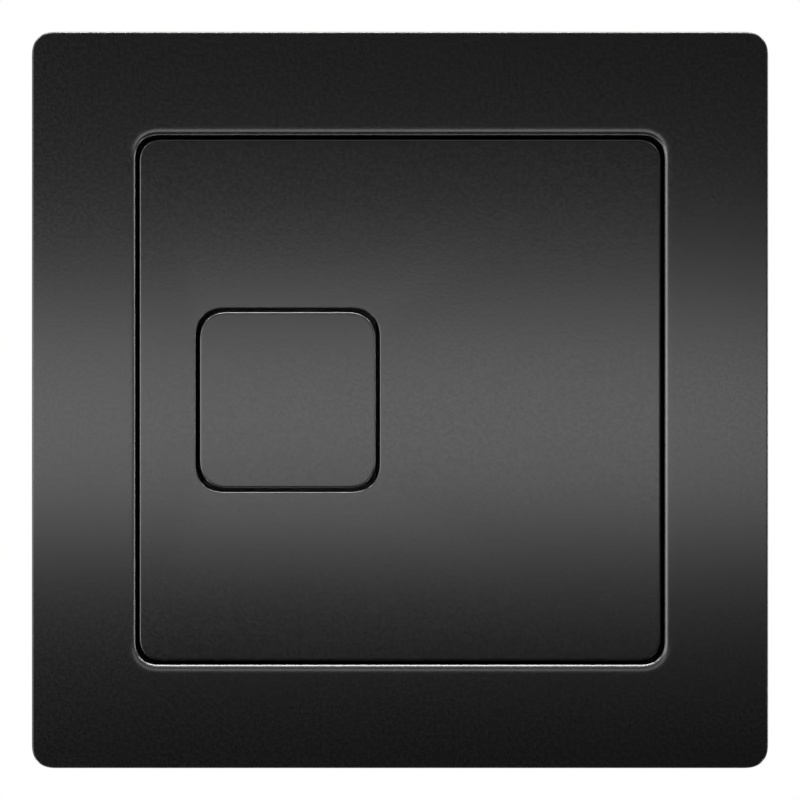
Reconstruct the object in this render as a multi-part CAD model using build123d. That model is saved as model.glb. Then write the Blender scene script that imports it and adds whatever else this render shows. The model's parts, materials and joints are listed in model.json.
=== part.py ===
from build123d import *
from math import atan2, degrees, hypot
import os

# Square dual flush plate for a concealed cistern, worked by air.
# A snap-on cover frame surrounds a large full flush button, and a small half flush button sits in a
# window of the large one. Each button slides straight in on guide posts and squeezes a rubber bellows,
# and the puff of air leaves through a hose spigot behind the wall.
# The plate is modelled lying on its back: x runs right, y runs up the wall and z comes out of the wall
# towards the user, with z = 0 on the face of the wall. It is stood up when it is written out.

# Cover frame, in millimetres as all sizes here
PLATE = 150.0
PLATE_CORNER = 4.2
PLATE_BEVEL = 0.5
PROJECTION = 12.0
COVER_WALL = 2.2
WALL_GAP = 0.3
BORDER = 21.0
OPENING_CORNER = 4.4
OPENING_EDGE = 1.1
LIP_WALL = 1.6
LIP_CLEARANCE = 0.4
COVER_RIB = 1.2
COVER_RIB_HEIGHT = 1.5
COVER_RIB_SPACING = 76.0
PRY_WIDTH = 12.0
PRY_HEIGHT = 1.4

# Snap beads on the cover's skirt, which hook behind a step in the wall frame's edge
SNAP_LENGTH = 20.0
SNAP_SPACING = 84.0
SNAP_DEPTH = 1.2
SNAP_LEDGE = 1.6
SNAP_CLEARANCE = 0.25

# Buttons, whose faces lie a little behind the cover's
TRAVEL = 5.0
BUTTON_RECESS = 0.6
FULL_GAP = 0.85
FULL_CORNER = 4.2
HALF_X = -22.9
WINDOW = 37.5
WINDOW_CORNER = 5.3
WINDOW_BEVEL = 0.3
HALF_GAP = 0.8
HALF_CORNER = 5.1
BUTTON_BEVEL = 0.4
BUTTON_FACE = 2.4
SKIRT_DEPTH = 8.5
FULL_SKIRT = 1.8
HALF_SKIRT = 1.6
WINDOW_COLLAR = 1.6
BUTTON_RIB = 1.4
BUTTON_RIB_HEIGHT = 2.4
PUSHER_HEIGHT = 3.0
FULL_PUSHER = 18.0
HALF_PUSHER = 8.0

# Guide posts under the buttons, their towers in the tray and the clips that keep them there
POST = 5.0
POST_WEB = 1.8
POST_FOOT = 8.0
POST_TAIL = 2.0
FULL_POST_INSET = 5.4
HALF_POST_INSET = 2.75
GUIDE_CLEARANCE = 0.3
TOWER_WALL = 1.5
TOWER_RIB = 1.4
TOWER_CLEARANCE = 1.0
CLIP = 8.6
CLIP_THICKNESS = 1.0
CLIP_NECK = 3.0
CLIP_FIT = 0.1
CLIP_PLAY = 0.2

# Wall frame and its foam strips
FRAME_THICKNESS = 3.0
COVER_FIT = 0.5
WALL_SCREW_HOLE = 4.5
FOAM_WIDTH = 3.0
FOAM_END_GAP = 8.5
FOAM_DEPTH = 1.2
FOAM_INSET = 1.5

# Mechanism tray, its seal, and the hooks and screws that hold it to the wall frame
TRAY_GAP = 1.2
TRAY_WALL = 1.8
TRAY_FLOOR = 2.4
TRAY_CORNER = 6.0
TRAY_FIT = 0.35
RIM_WIDTH = 4.0
RIM_CORNER = 3.0
RIM_THICKNESS = 1.8
SEAL_WIDTH = 2.0
SEAL_HEIGHT = 1.0
SEAL_INSET = 0.4
BACK_RIB = 1.6
BACK_RIB_HEIGHT = 2.5
BACK_RIB_SPACING = 56.0
HOOK_WIDTH = 14.0
HOOK_SPACING = 60.0
HOOK_REACH = 2.0
HOOK_THICKNESS = 1.6
HOOK_PLAY = 0.1
EAR = 7.0
EAR_SPACING = 60.0
SCREW_SHANK = 2.8
SCREW_HEAD = 5.0
SCREW_HEAD_HEIGHT = 1.8
SCREW_TIP_GAP = 0.4
SCREW_FIT = 0.1
THREAD_FIT = 0.05

# Rubber stop pads
STOP_CLEARANCE = 0.3
PAD_HEIGHT = 1.5
PAD_LENGTH = 12.0
PAD_WIDTH = 2.8
PAD_BORDER = 0.6
HALF_PAD = 4.4
HALF_PAD_INSET = 2.8

# Air pumps: panelled bellows, base with neck and spigot, retainer and lock nut
PANELS = 12
FULL_PUMP_X = 22.9
FULL_BELLOWS = 34.0
FULL_FOLD = 4.5
HALF_BELLOWS = 16.0
HALF_FOLD = 2.6
BELLOWS_HEIGHT = 20.0
BELLOWS_WALL = 1.0
BELLOWS_CROWN = 2.0
FOLDS = 2
BELLOWS_PLAY = 0.2
FLANGE_WIDTH = 2.0
FLANGE_THICKNESS = 1.6
BASE_PLATE = 2.0
RETAINER_WALL = 1.0
RETAINER_LIP = 1.2
RETAINER_FIT = 0.1
FOLD_CLEARANCE = 0.4
NECK = 8.0
NECK_FIT = 0.15
NECK_TAIL = 1.0
NUT_WIDTH = 13.0
NUT_HEIGHT = 5.0
NUT_FIT = 0.1
SPIGOT = 4.6
SPIGOT_LENGTH = 10.0
AIR_BORE = 2.5

# Widths that follow from the sizes above
opening = PLATE - 2 * BORDER
full_button = opening - 2 * FULL_GAP
half_button = WINDOW - 2 * HALF_GAP
cover_inside = PLATE - 2 * COVER_WALL
frame_outside = cover_inside - 2 * COVER_FIT
tray_inside = full_button + 2 * TRAY_GAP
tray_outside = tray_inside + 2 * TRAY_WALL
rim_outside = tray_outside + 2 * RIM_WIDTH
frame_opening = tray_outside + 2 * TRAY_FIT
foam_length = frame_opening - 2 * FOAM_END_GAP
border_middle = (frame_outside + frame_opening) / 4
full_post_at = full_button / 2 - FULL_SKIRT - FULL_POST_INSET
half_post_at = half_button / 2 - HALF_SKIRT - HALF_POST_INSET
half_folds = 2 * FOLDS + 1
socket = POST + 2 * GUIDE_CLEARANCE
tower = socket + 2 * TOWER_WALL

# Levels that follow from the sizes above, counted out of the wall
cover_under = PROJECTION - COVER_WALL
button_front = PROJECTION - BUTTON_RECESS
face_under = button_front - BUTTON_FACE
skirt_end = button_front - SKIRT_DEPTH
rib_end = face_under - BUTTON_RIB_HEIGHT
pusher_end = face_under - PUSHER_HEIGHT
rim_low = FRAME_THICKNESS + SEAL_HEIGHT
rim_top = rim_low + RIM_THICKNESS
lip_end = rim_top + LIP_CLEARANCE
pressed_end = skirt_end - TRAVEL
pad_top = pressed_end - STOP_CLEARANCE
pad_low = pad_top - PAD_HEIGHT
tower_top = pressed_end - TOWER_CLEARANCE
crown_top = pusher_end - BELLOWS_PLAY
flange_low = crown_top - BELLOWS_HEIGHT
flange_top = flange_low + FLANGE_THICKNESS
floor_front = flange_low - BASE_PLATE
floor_back = floor_front - TRAY_FLOOR
nut_end = floor_back - NUT_HEIGHT
neck_end = nut_end - NECK_TAIL
spigot_end = neck_end - SPIGOT_LENGTH
clip_high = floor_back - CLIP_PLAY
clip_low = clip_high - CLIP_THICKNESS
foot_top = clip_high + POST_FOOT
post_end = clip_low - POST_TAIL

SIDES = (-1, 1)
QUARTERS = (0, 90, 180, 270)
UPWARDS = (Align.CENTER, Align.CENTER, Align.MIN)
ON_THE_WALL = Plane.XZ


def block(width, corner, low, high):
    """A square block with rounded corners, from one level to another."""
    return Pos(0, 0, low) * extrude(RectangleRounded(width, width, corner), high - low)


def bar(length, width, low, high):
    """A plain bar along x, from one level to another."""
    return Pos(0, 0, low) * Box(length, width, high - low, align=UPWARDS)


def rod(diameter, low, high):
    """A round rod along z, from one level to another."""
    return Pos(0, 0, low) * Cylinder(diameter / 2, high - low, align=UPWARDS)


def panelled(width):
    """A near-round outline of flat panels, with one panel square to x."""
    return RegularPolygon(width / 2, PANELS, major_radius=False, rotation=180 / PANELS)


def hexagon(width):
    """A hexagon of this width across its flats."""
    return RegularPolygon(width / 2, 6, major_radius=False)


def drum(width, low, high):
    """A panelled drum along z, from one level to another."""
    return Pos(0, 0, low) * extrude(panelled(width), high - low)


def corners(distance):
    """Places at the four corners of a square."""
    return [Pos(x, y) for x in (-distance, distance) for y in (-distance, distance)]


def front_face(shape):
    """The face nearest to the user."""
    return shape.faces().sort_by(Axis.Z)[-1]


def group(piece, places):
    """Like pieces, each a solid of its own."""
    return Compound([place * piece for place in places])


def snap_bead():
    """Wedge on the inside of the cover's right skirt: slanted to ride over the frame, flat to hook."""
    wall = cover_inside / 2
    root = wall + COVER_WALL / 2
    hook = SNAP_LEDGE - SNAP_CLEARANCE
    tip = wall - SNAP_DEPTH
    wedge = Polyline((root, WALL_GAP), (wall, WALL_GAP), (tip, hook), (root, hook), close=True)
    return extrude(Plane.XZ * make_face(wedge), SNAP_LENGTH / 2, both=True)


def cover_frame():
    """Snap-on frame: a thin front with a skirt to the wall and a lip round its opening."""
    shell = block(PLATE, PLATE_CORNER, WALL_GAP, PROJECTION)
    shell = chamfer(front_face(shell).outer_wire().edges(), PLATE_BEVEL)
    shell -= block(cover_inside, PLATE_CORNER - COVER_WALL, WALL_GAP, cover_under)
    shell += block(opening + 2 * LIP_WALL, OPENING_CORNER + LIP_WALL, lip_end, cover_under)
    rib_length = (cover_inside - opening) / 2 - LIP_WALL + (COVER_WALL + LIP_WALL) / 2
    rib_middle = (cover_inside + opening + COVER_WALL + LIP_WALL) / 4
    rib = bar(rib_length, COVER_RIB, cover_under - COVER_RIB_HEIGHT, cover_under)
    for turn in QUARTERS:
        for side in SIDES:
            shell += Rot(0, 0, turn) * Pos(rib_middle, side * COVER_RIB_SPACING / 2) * rib
            shell += Rot(0, 0, turn) * Pos(0, side * SNAP_SPACING / 2) * snap_bead()
    shell -= block(opening, OPENING_CORNER, lip_end, PROJECTION)
    shell -= Pos(0, -PLATE / 2) * bar(PRY_WIDTH, 2 * COVER_WALL, WALL_GAP, WALL_GAP + PRY_HEIGHT)
    return fillet(front_face(shell).inner_wires()[0].edges(), OPENING_EDGE)


def guide_post():
    """Cross-shaped post under a button, with a square foot that is grooved for its clip."""
    webs = bar(POST, POST_WEB, foot_top, face_under) + bar(POST_WEB, POST, foot_top, face_under)
    groove = bar(POST, POST, clip_low, clip_high) - bar(CLIP_NECK, POST, clip_low, clip_high)
    return webs + bar(POST, POST, post_end, foot_top) - groove


def guide_clip():
    """Fork clip, pushed sideways into the groove of a post behind the tray's floor."""
    slot_end = POST / 2 + CLIP_FIT
    slot_length = CLIP / 2 + slot_end
    slot = bar(CLIP_NECK + 2 * CLIP_FIT, slot_length, clip_low, clip_high)
    return bar(CLIP, CLIP, clip_low, clip_high) - Pos(0, slot_end - slot_length / 2) * slot


def half_post_places():
    """The small button's posts stand in two opposite corners of its skirt."""
    return [Pos(HALF_X + side * half_post_at, side * half_post_at) for side in SIDES]


def full_flush_button():
    """Large button: a skirted face with a collared window, ribs, a pusher and four posts."""
    shell = block(full_button, FULL_CORNER, skirt_end, button_front)
    shell = chamfer(front_face(shell).outer_wire().edges(), BUTTON_BEVEL)
    inside = full_button - 2 * FULL_SKIRT
    shell -= block(inside, FULL_CORNER - FULL_SKIRT, skirt_end, face_under)
    rib = bar(inside + FULL_SKIRT, BUTTON_RIB, rib_end, face_under)
    for distance in (-full_post_at, 0, full_post_at):
        shell += Pos(0, distance) * rib
    shell += Pos(FULL_PUMP_X, 0) * Rot(0, 0, 90) * rib
    shell += Pos(FULL_PUMP_X, 0) * drum(FULL_PUSHER, pusher_end, face_under)
    for place in corners(full_post_at):
        shell += place * guide_post()
    collar = WINDOW + 2 * WINDOW_COLLAR
    shell += Pos(HALF_X, 0) * block(collar, WINDOW_CORNER + WINDOW_COLLAR, skirt_end, face_under)
    shell -= Pos(HALF_X, 0) * block(WINDOW, WINDOW_CORNER, skirt_end, button_front)
    return chamfer(front_face(shell).inner_wires()[0].edges(), WINDOW_BEVEL)


def half_flush_button():
    """Small button: a skirted face with crossed ribs, a pusher and two posts."""
    shell = block(half_button, HALF_CORNER, skirt_end, button_front)
    shell = chamfer(front_face(shell).outer_wire().edges(), BUTTON_BEVEL)
    inside = half_button - 2 * HALF_SKIRT
    shell -= block(inside, HALF_CORNER - HALF_SKIRT, skirt_end, face_under)
    rib = bar(inside + HALF_SKIRT, BUTTON_RIB, rib_end, face_under)
    shell += rib + Rot(0, 0, 90) * rib
    shell += drum(HALF_PUSHER, pusher_end, face_under)
    shell = Pos(HALF_X, 0) * shell
    for place in half_post_places():
        shell += place * guide_post()
    return shell


def ear_places():
    """The tray's two screws stand in the lower border of the wall frame."""
    return [Pos(side * EAR_SPACING / 2, -border_middle) for side in SIDES]


def foam_places():
    """A foam strip lies along each side of the wall frame, between the wall screws."""
    distance = frame_opening / 2 + FOAM_INSET + FOAM_WIDTH / 2
    return [Rot(0, 0, turn) * Pos(0, distance) for turn in QUARTERS]


def tray_hook():
    """Hook on the wall frame that reaches over the top edge of the tray's rim."""
    stem = rim_outside / 2 + HOOK_PLAY
    under = rim_top + HOOK_PLAY
    top = under + HOOK_THICKNESS
    hook = Pos(0, stem + HOOK_THICKNESS / 2) * bar(HOOK_WIDTH, HOOK_THICKNESS, FRAME_THICKNESS, top)
    return hook + Pos(0, stem - HOOK_REACH / 2) * bar(HOOK_WIDTH, HOOK_REACH, under, top)


def wall_frame():
    """Flat frame on the wall, with screw holes at its corners and a step behind its edge for the cover."""
    frame = block(frame_outside, PLATE_CORNER - COVER_WALL, 0, FRAME_THICKNESS)
    frame -= block(frame_opening, TRAY_CORNER + TRAY_FIT, 0, FRAME_THICKNESS)
    step_depth = SNAP_DEPTH - COVER_FIT + SNAP_CLEARANCE
    step = bar(2 * step_depth, SNAP_LENGTH + 2 * COVER_FIT, 0, SNAP_LEDGE)
    for turn in QUARTERS:
        for side in SIDES:
            frame -= Rot(0, 0, turn) * Pos(frame_outside / 2, side * SNAP_SPACING / 2) * step
    for place in foam_places():
        frame -= place * bar(foam_length, FOAM_WIDTH, 0, FOAM_DEPTH)
    for place in corners(border_middle):
        frame -= place * rod(WALL_SCREW_HOLE, 0, FRAME_THICKNESS)
    for side in SIDES:
        frame += Pos(side * HOOK_SPACING / 2, 0) * tray_hook()
    for place in ear_places():
        frame += place * bar(EAR, EAR, FRAME_THICKNESS, rim_low)
        frame -= place * rod(SCREW_SHANK + 2 * THREAD_FIT, 0, rim_low)
    return frame


def tray_seal():
    """Flat rubber ring, cut with square corners, between the tray's rim and the wall frame."""
    inside = frame_opening + 2 * SEAL_INSET
    outside = inside + 2 * SEAL_WIDTH
    return bar(outside, outside, FRAME_THICKNESS, rim_low) - bar(inside, inside, FRAME_THICKNESS, rim_low)


def full_pad_places():
    """The large button's stop pads lie under the middle of each side of its skirt."""
    middle = (full_button - FULL_SKIRT) / 2
    return [Rot(0, 0, turn) * Pos(0, middle) for turn in QUARTERS]


def half_pad_places():
    """The small button's stop pads lie under the two corners of its skirt that have no post."""
    distance = half_button / 2 - HALF_PAD_INSET
    return [Pos(HALF_X + side * distance, -side * distance) for side in SIDES]


def mechanism_tray():
    """Tray set into the wall: a rimmed box with guide towers, stop ledges and screw ears."""
    tray = block(tray_outside, TRAY_CORNER, floor_back, rim_top)
    tray += block(rim_outside, RIM_CORNER, rim_low, rim_top)
    ear_length = border_middle + EAR / 2 - tray_outside / 2
    for place in ear_places():
        tray += place * Pos(0, (ear_length - EAR) / 2) * bar(EAR, ear_length, rim_low, rim_top)
        tray -= place * rod(SCREW_SHANK + 2 * SCREW_FIT, rim_low, rim_top)
    tray -= block(tray_inside, TRAY_CORNER - TRAY_WALL, floor_front, rim_top)

    ledge_width = TRAY_GAP + FULL_SKIRT + PAD_BORDER + TRAY_WALL / 2
    ledge_middle = (tray_inside + TRAY_WALL - ledge_width) / 2
    ledge = bar(PAD_LENGTH + 2 * PAD_BORDER, ledge_width, floor_front, pad_low)
    rib_length = (tray_inside + TRAY_WALL) / 2 - full_post_at
    tower_rib = Pos(rib_length / 2, 0) * bar(rib_length, TOWER_RIB, floor_front, tower_top)
    for turn in QUARTERS:
        tray += Rot(0, 0, turn) * Pos(0, ledge_middle) * ledge
        for side in SIDES:
            tray += Rot(0, 0, turn) * Pos(full_post_at, side * full_post_at) * tower_rib
    pillar = HALF_PAD + 2 * PAD_BORDER
    for place in half_pad_places():
        tray += place * bar(pillar, pillar, floor_front, pad_low)
    for place in corners(full_post_at) + half_post_places():
        tray += place * bar(tower, tower, floor_front, tower_top)
        tray -= place * bar(socket, socket, floor_back, tower_top)

    back_rib = bar(tray_outside - TRAY_WALL, BACK_RIB, floor_back - BACK_RIB_HEIGHT, floor_back)
    for side in SIDES:
        tray += Pos(0, side * BACK_RIB_SPACING / 2) * back_rib
    tray += bar(BACK_RIB, BACK_RIB_SPACING, floor_back - BACK_RIB_HEIGHT, floor_back)
    for pump_x in (FULL_PUMP_X, HALF_X):
        tray -= Pos(pump_x, 0) * rod(NECK + 2 * NECK_FIT, floor_back, floor_front)
    return tray


def tray_screw():
    """Hexagon head screw through an ear of the tray into the wall frame, without its thread."""
    head = Pos(0, 0, rim_top) * extrude(hexagon(SCREW_HEAD), SCREW_HEAD_HEIGHT)
    return head + rod(SCREW_SHANK, SCREW_TIP_GAP, rim_top)


def fold_stack(width, fold, rise):
    """Half-folds of flat panels on top of each other, narrowing and widening by turns."""
    half_fold = extrude(panelled(width), rise, taper=degrees(atan2(fold, rise)))
    stack = half_fold
    for step in range(1, half_folds):
        widening = step % 2
        stack += Pos(0, 0, (step + widening) * rise) * Rot(180 * widening, 0, 0) * half_fold
    return Pos(0, 0, flange_top) * stack


def bellows(width, fold):
    """Rubber bellows with flat folding panels, a flange at its foot and a closed crown."""
    folds_top = crown_top - BELLOWS_CROWN
    rise = (folds_top - flange_top) / half_folds
    level_wall = BELLOWS_WALL * hypot(fold, rise) / rise
    inside = width - 2 * level_wall
    body = drum(width + 2 * FLANGE_WIDTH, flange_low, flange_top)
    body += fold_stack(width, fold, rise)
    body += drum(width - 2 * fold, folds_top, crown_top)
    return body - fold_stack(inside, fold, rise) - drum(inside, flange_low, flange_top)


def air_base(width):
    """Plate under the bellows, with a neck through the tray's floor and a hose spigot behind."""
    base = drum(width + 2 * FLANGE_WIDTH, floor_front, flange_low)
    base += rod(NECK, neck_end, floor_front)
    base += rod(SPIGOT, spigot_end, neck_end)
    return base - rod(AIR_BORE, spigot_end, flange_low)


def retainer(width):
    """Ring that snaps round the base and holds the bellows' flange down on it."""
    inside = width + 2 * FLANGE_WIDTH + 2 * RETAINER_FIT
    ring = drum(inside + 2 * RETAINER_WALL, floor_front, flange_top + RETAINER_LIP)
    ring -= drum(inside, floor_front, flange_top)
    return ring - drum(width + 2 * FOLD_CLEARANCE, flange_top, flange_top + RETAINER_LIP)


def lock_nut():
    """Hexagon nut on the base's neck, against the back of the tray's floor, without its thread."""
    nut = Pos(0, 0, nut_end) * extrude(hexagon(NUT_WIDTH), NUT_HEIGHT)
    return nut - rod(NECK + 2 * NUT_FIT, nut_end, floor_back)


full_pump = Pos(FULL_PUMP_X, 0)
half_pump = Pos(HALF_X, 0)
foam_strip = bar(foam_length, FOAM_WIDTH, 0, FOAM_DEPTH)
full_pad = bar(PAD_LENGTH, PAD_WIDTH, pad_low, pad_top)
half_pad = bar(HALF_PAD, HALF_PAD, pad_low, pad_top)

pieces = {
    "cover_frame": cover_frame(),
    "full_flush_button": full_flush_button(),
    "half_flush_button": half_flush_button(),
    "wall_frame": wall_frame(),
    "wall_foam_strips": group(foam_strip, foam_places()),
    "mechanism_tray": mechanism_tray(),
    "tray_seal": tray_seal(),
    "tray_screws": group(tray_screw(), ear_places()),
    "full_flush_bellows": full_pump * bellows(FULL_BELLOWS, FULL_FOLD),
    "half_flush_bellows": half_pump * bellows(HALF_BELLOWS, HALF_FOLD),
    "full_flush_air_base": full_pump * air_base(FULL_BELLOWS),
    "half_flush_air_base": half_pump * air_base(HALF_BELLOWS),
    "full_flush_retainer": full_pump * retainer(FULL_BELLOWS),
    "half_flush_retainer": half_pump * retainer(HALF_BELLOWS),
    "full_flush_lock_nut": full_pump * lock_nut(),
    "half_flush_lock_nut": half_pump * lock_nut(),
    "full_guide_clips": group(guide_clip(), corners(full_post_at)),
    "half_guide_clips": group(guide_clip(), half_post_places()),
    "full_stop_pads": group(full_pad, full_pad_places()),
    "half_stop_pads": group(half_pad, half_pad_places()),
}

os.makedirs("parts", exist_ok=True)
for name, piece in pieces.items():
    export_step(ON_THE_WALL * piece, f"parts/{name}.step")
    print(name, round(piece.volume), "mm3")
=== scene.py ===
# %% [markdown]
# # A square dual flush plate in satin black
# The plate hangs on the wall in front of a concealed cistern. A flat frame surrounds a large button for a
# full flush, and a small button for a half flush sits in a window of the large one. Behind the wall each
# button squeezes a rubber bellows, and the puff of air works the flush valve through a hose.
# The CAD model has every piece in its place, so this lesson dresses it. The black mouldings and the round
# pieces of the air pumps are drawn again with finer forms, the other CAD pieces keep their shape and get
# soft edges and real finishes, and a small studio lights the plate as a catalogue picture does.

# %% Load the CAD model as a fixed frame
import json
from math import cos, degrees, hypot, pi, radians, sin, sqrt, tan
import bmesh
import bpy
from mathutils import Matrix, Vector


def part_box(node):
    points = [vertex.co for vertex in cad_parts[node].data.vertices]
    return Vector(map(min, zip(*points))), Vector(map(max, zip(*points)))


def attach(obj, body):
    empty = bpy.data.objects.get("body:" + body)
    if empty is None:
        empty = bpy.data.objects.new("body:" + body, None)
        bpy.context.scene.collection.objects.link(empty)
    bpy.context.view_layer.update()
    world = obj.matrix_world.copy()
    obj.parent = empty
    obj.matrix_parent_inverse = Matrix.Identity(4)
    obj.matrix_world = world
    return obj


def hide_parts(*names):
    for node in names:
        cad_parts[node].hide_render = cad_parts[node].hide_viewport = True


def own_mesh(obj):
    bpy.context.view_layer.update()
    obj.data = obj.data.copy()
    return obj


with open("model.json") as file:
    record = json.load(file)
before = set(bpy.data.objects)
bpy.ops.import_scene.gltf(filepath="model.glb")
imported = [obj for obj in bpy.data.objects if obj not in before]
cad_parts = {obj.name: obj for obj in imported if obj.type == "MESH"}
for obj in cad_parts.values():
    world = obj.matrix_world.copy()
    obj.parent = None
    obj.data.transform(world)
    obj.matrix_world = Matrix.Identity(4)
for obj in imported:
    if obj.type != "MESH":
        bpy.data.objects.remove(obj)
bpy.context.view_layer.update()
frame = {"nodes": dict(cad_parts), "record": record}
scene = bpy.context.scene
MM = 0.001

# %% [markdown]
# ## Sizes
# The boxes of the CAD pieces give the main sizes, so the looks follow the CAD model when it changes. A box
# can't tell a corner's radius or a wall's thickness, so those are named further down, where each is first
# needed. All sizes are in millimetres, and levels count out of the wall towards the user, which is the
# frame's -Y direction.

# %% Read the main sizes
cover_low, cover_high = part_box("cover_frame")
full_low, full_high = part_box("full_flush_button")
half_low, half_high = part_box("half_flush_button")

PLATE_HALF = cover_high.x / MM
FRONT = -cover_low.y / MM
WALL_GAP = -cover_high.y / MM
FULL_HALF = full_high.x / MM
BUTTON_FRONT = -full_low.y / MM
POST_END = -full_high.y / MM
HALF_HALF = (half_high.x - half_low.x) / 2 / MM
HALF_X = (half_high.x + half_low.x) / 2 / MM
print("plate", round(2 * PLATE_HALF, 1), "large button", round(2 * FULL_HALF, 1),
      "small button", round(2 * HALF_HALF, 1), "centred at", round(HALF_X, 1))

# %% [markdown]
# ## Bends
# Nothing on a moulding like this bends as a circle's arc does: a designer lets a curve start gently, so that
# reflections flow round it without a break. A bend is drawn here as one would walk along it, in small steps
# whose direction is a function of the way gone. The same walk then serves the corners and the edges.

# %% Walk along a bend
STEP_SAMPLES = 40


def bend(direction, steps):
    """Points (along, across) of a walk whose direction, in radians, is a function of the way from 0 to 1."""
    points = [(0.0, 0.0)]
    for sample in range(steps * STEP_SAMPLES):
        angle = direction((sample + 0.5) / (steps * STEP_SAMPLES))
        points.append((points[-1][0] + cos(angle), points[-1][1] + sin(angle)))
    return points[::STEP_SAMPLES]


print("a quarter of a circle in 2 steps:", bend(lambda way: way * pi / 2, 2))

# %% [markdown]
# ## Rounded squares
# All three black mouldings are square with rounded corners. A cube with a bevel could give that, but then
# one width rounds every edge. Here a moulding is a stack of square outlines instead: up the outer wall,
# round the edge, across the front and back down inside. So every edge gets its own curve, and the large
# faces stay perfectly flat, which a calm reflection needs. A corner's direction follows a smooth step, and
# its size is given as the radius of the arc that it meets on the diagonal, as in the CAD model.

# %% Draw one outline
CORNER_STEPS = 24

corner_walk = bend(lambda way: (3 - 2 * way) * way ** 2 * pi / 2, CORNER_STEPS)
corner_end = corner_walk[-1][0]
corner_walk = [(along / corner_end, across / corner_end) for along, across in corner_walk]
along, across = corner_walk[CORNER_STEPS // 2]
CORNER_REACH = (sqrt(2) - 1) / hypot(1 - along, across)


def outline(half, corner, level, centre=0.0):
    """A square outline with eased corners, at one level out of the wall."""
    reach = corner * CORNER_REACH
    points = []
    for quarter_turn in (1, 1j, -1, -1j):
        for along, across in corner_walk:
            spot = quarter_turn * complex(half - reach * across, half - reach * (1 - along))
            points.append(Vector((centre + spot.real, -level, spot.imag)) * MM)
    return points


print("a corner begins", round(CORNER_REACH, 2), "times as far out as the arc")

# %% [markdown]
# ## Moulded edges
# Across an edge the tilt of the surface grows as a power of the way round. A power of 1 is a plain arc, and
# a higher one is softer. An edge can also stop at a slant and end in a small flat facet, as the parting
# line of a mould leaves it. Each of these draws its own fine line of light.

# %% Bend an edge
EDGE_STEPS = 20


def eased_edge(reach, power, steepest=90.0, facet=0.0):
    """Pairs of distance from the wall and depth under the face, from the face to the wall."""
    walk = bend(lambda way: radians(steepest) * way ** power, EDGE_STEPS)
    scale = (reach - facet) / walk[-1][0]
    pairs = [(reach - scale * along, scale * across) for along, across in walk]
    if facet:
        pairs.append((0.0, pairs[-1][1] + facet * tan(radians(steepest))))
    return pairs


def outer_edge(half, corner, level, edge, centre=0.0):
    """Outlines that turn from an outer wall into the front face."""
    return [outline(half - inset, corner - inset, level - deep, centre) for inset, deep in reversed(edge)]


def inner_edge(half, corner, level, edge, centre=0.0):
    """Outlines that turn from the front face down into an opening."""
    return [outline(half + outset, corner + outset, level - deep, centre) for outset, deep in edge]


print("a plain arc of 1 mm goes down by", round(eased_edge(1.0, 1.0)[-1][1], 2), "mm")

# %% [markdown]
# ## Skins
# A skin joins each outline to the next with a row of faces. The stack of a frame closes on itself, and
# that of a cap ends in two flat faces. Everything is shaded smooth, and only real corners stay sharp.

# %% Skin a stack of outlines
SHARP = radians(30)
SAME_SPOT = MM / 1000


def piece_of(name, mesh):
    """Makes an object at the origin from a bmesh, smooth except at its corners."""
    bmesh.ops.remove_doubles(mesh, verts=mesh.verts, dist=SAME_SPOT)
    bmesh.ops.recalc_face_normals(mesh, faces=mesh.faces)
    data = bpy.data.meshes.new(name)
    mesh.to_mesh(data)
    mesh.free()
    data.shade_smooth()
    data.set_sharp_from_angle(angle=SHARP)
    piece = bpy.data.objects.new(name, data)
    scene.collection.objects.link(piece)
    print(name, "has", len(data.polygons), "faces")
    return piece


def skin(name, rings, closed=True):
    """A mesh through a loop of outlines, or through a row of them with both ends filled."""
    mesh = bmesh.new()
    rows = [[mesh.verts.new(point) for point in ring] for ring in rings]
    for row, above in zip(rows, rows[1:] + (rows[:1] if closed else [])):
        for i in range(len(row)):
            mesh.faces.new((row[i - 1], row[i], above[i], above[i - 1]))
    if not closed:
        mesh.faces.new(rows[0])
        mesh.faces.new(rows[-1])
    return piece_of(name, mesh)


print("edges of over", round(degrees(SHARP)), "degrees stay sharp")

# %% [markdown]
# ## Cover frame
# The cover is a thin shell that snaps over a frame on the wall, with a skirt to the wall and a lip round
# its opening. Its outer edge is tight. The edge of the opening rolls in softly over two millimetres and
# ends in a narrow facet, and that draws the double line round the large button.

# %% Skin the cover frame
PLATE_CORNER = 4.2
PLATE_EDGE = eased_edge(0.45, 1.3)
COVER_WALL = 2.2
FULL_GAP = 0.85
OPENING_CORNER = 4.4
OPENING_EDGE = eased_edge(2.1, 2.6, steepest=40, facet=0.16)
LIP_WALL = 1.6
LIP_END = 6.2

opening_half = FULL_HALF + FULL_GAP
cover_under = FRONT - COVER_WALL
inside_half = PLATE_HALF - COVER_WALL
inside_corner = PLATE_CORNER - COVER_WALL
lip_half = opening_half + LIP_WALL
lip_corner = OPENING_CORNER + LIP_WALL
cover = skin("cover_shell", [
    outline(PLATE_HALF, PLATE_CORNER, WALL_GAP),
    *outer_edge(PLATE_HALF, PLATE_CORNER, FRONT, PLATE_EDGE),
    *inner_edge(opening_half, OPENING_CORNER, FRONT, OPENING_EDGE),
    outline(opening_half, OPENING_CORNER, LIP_END),
    outline(lip_half, lip_corner, LIP_END),
    outline(lip_half, lip_corner, cover_under),
    outline(inside_half, inside_corner, cover_under),
    outline(inside_half, inside_corner, WALL_GAP),
])

# %% [markdown]
# ## Pry notch
# A shallow notch in the lower edge takes a flat blade, to lift the cover off the wall again. Drawing it
# into the outlines would bend all of them, so a block is cut out with a Boolean modifier, and the result
# is kept as a plain mesh.

# %% Cut the notch
NOTCH_WIDTH = 12.0
NOTCH_HEIGHT = 1.4


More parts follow.
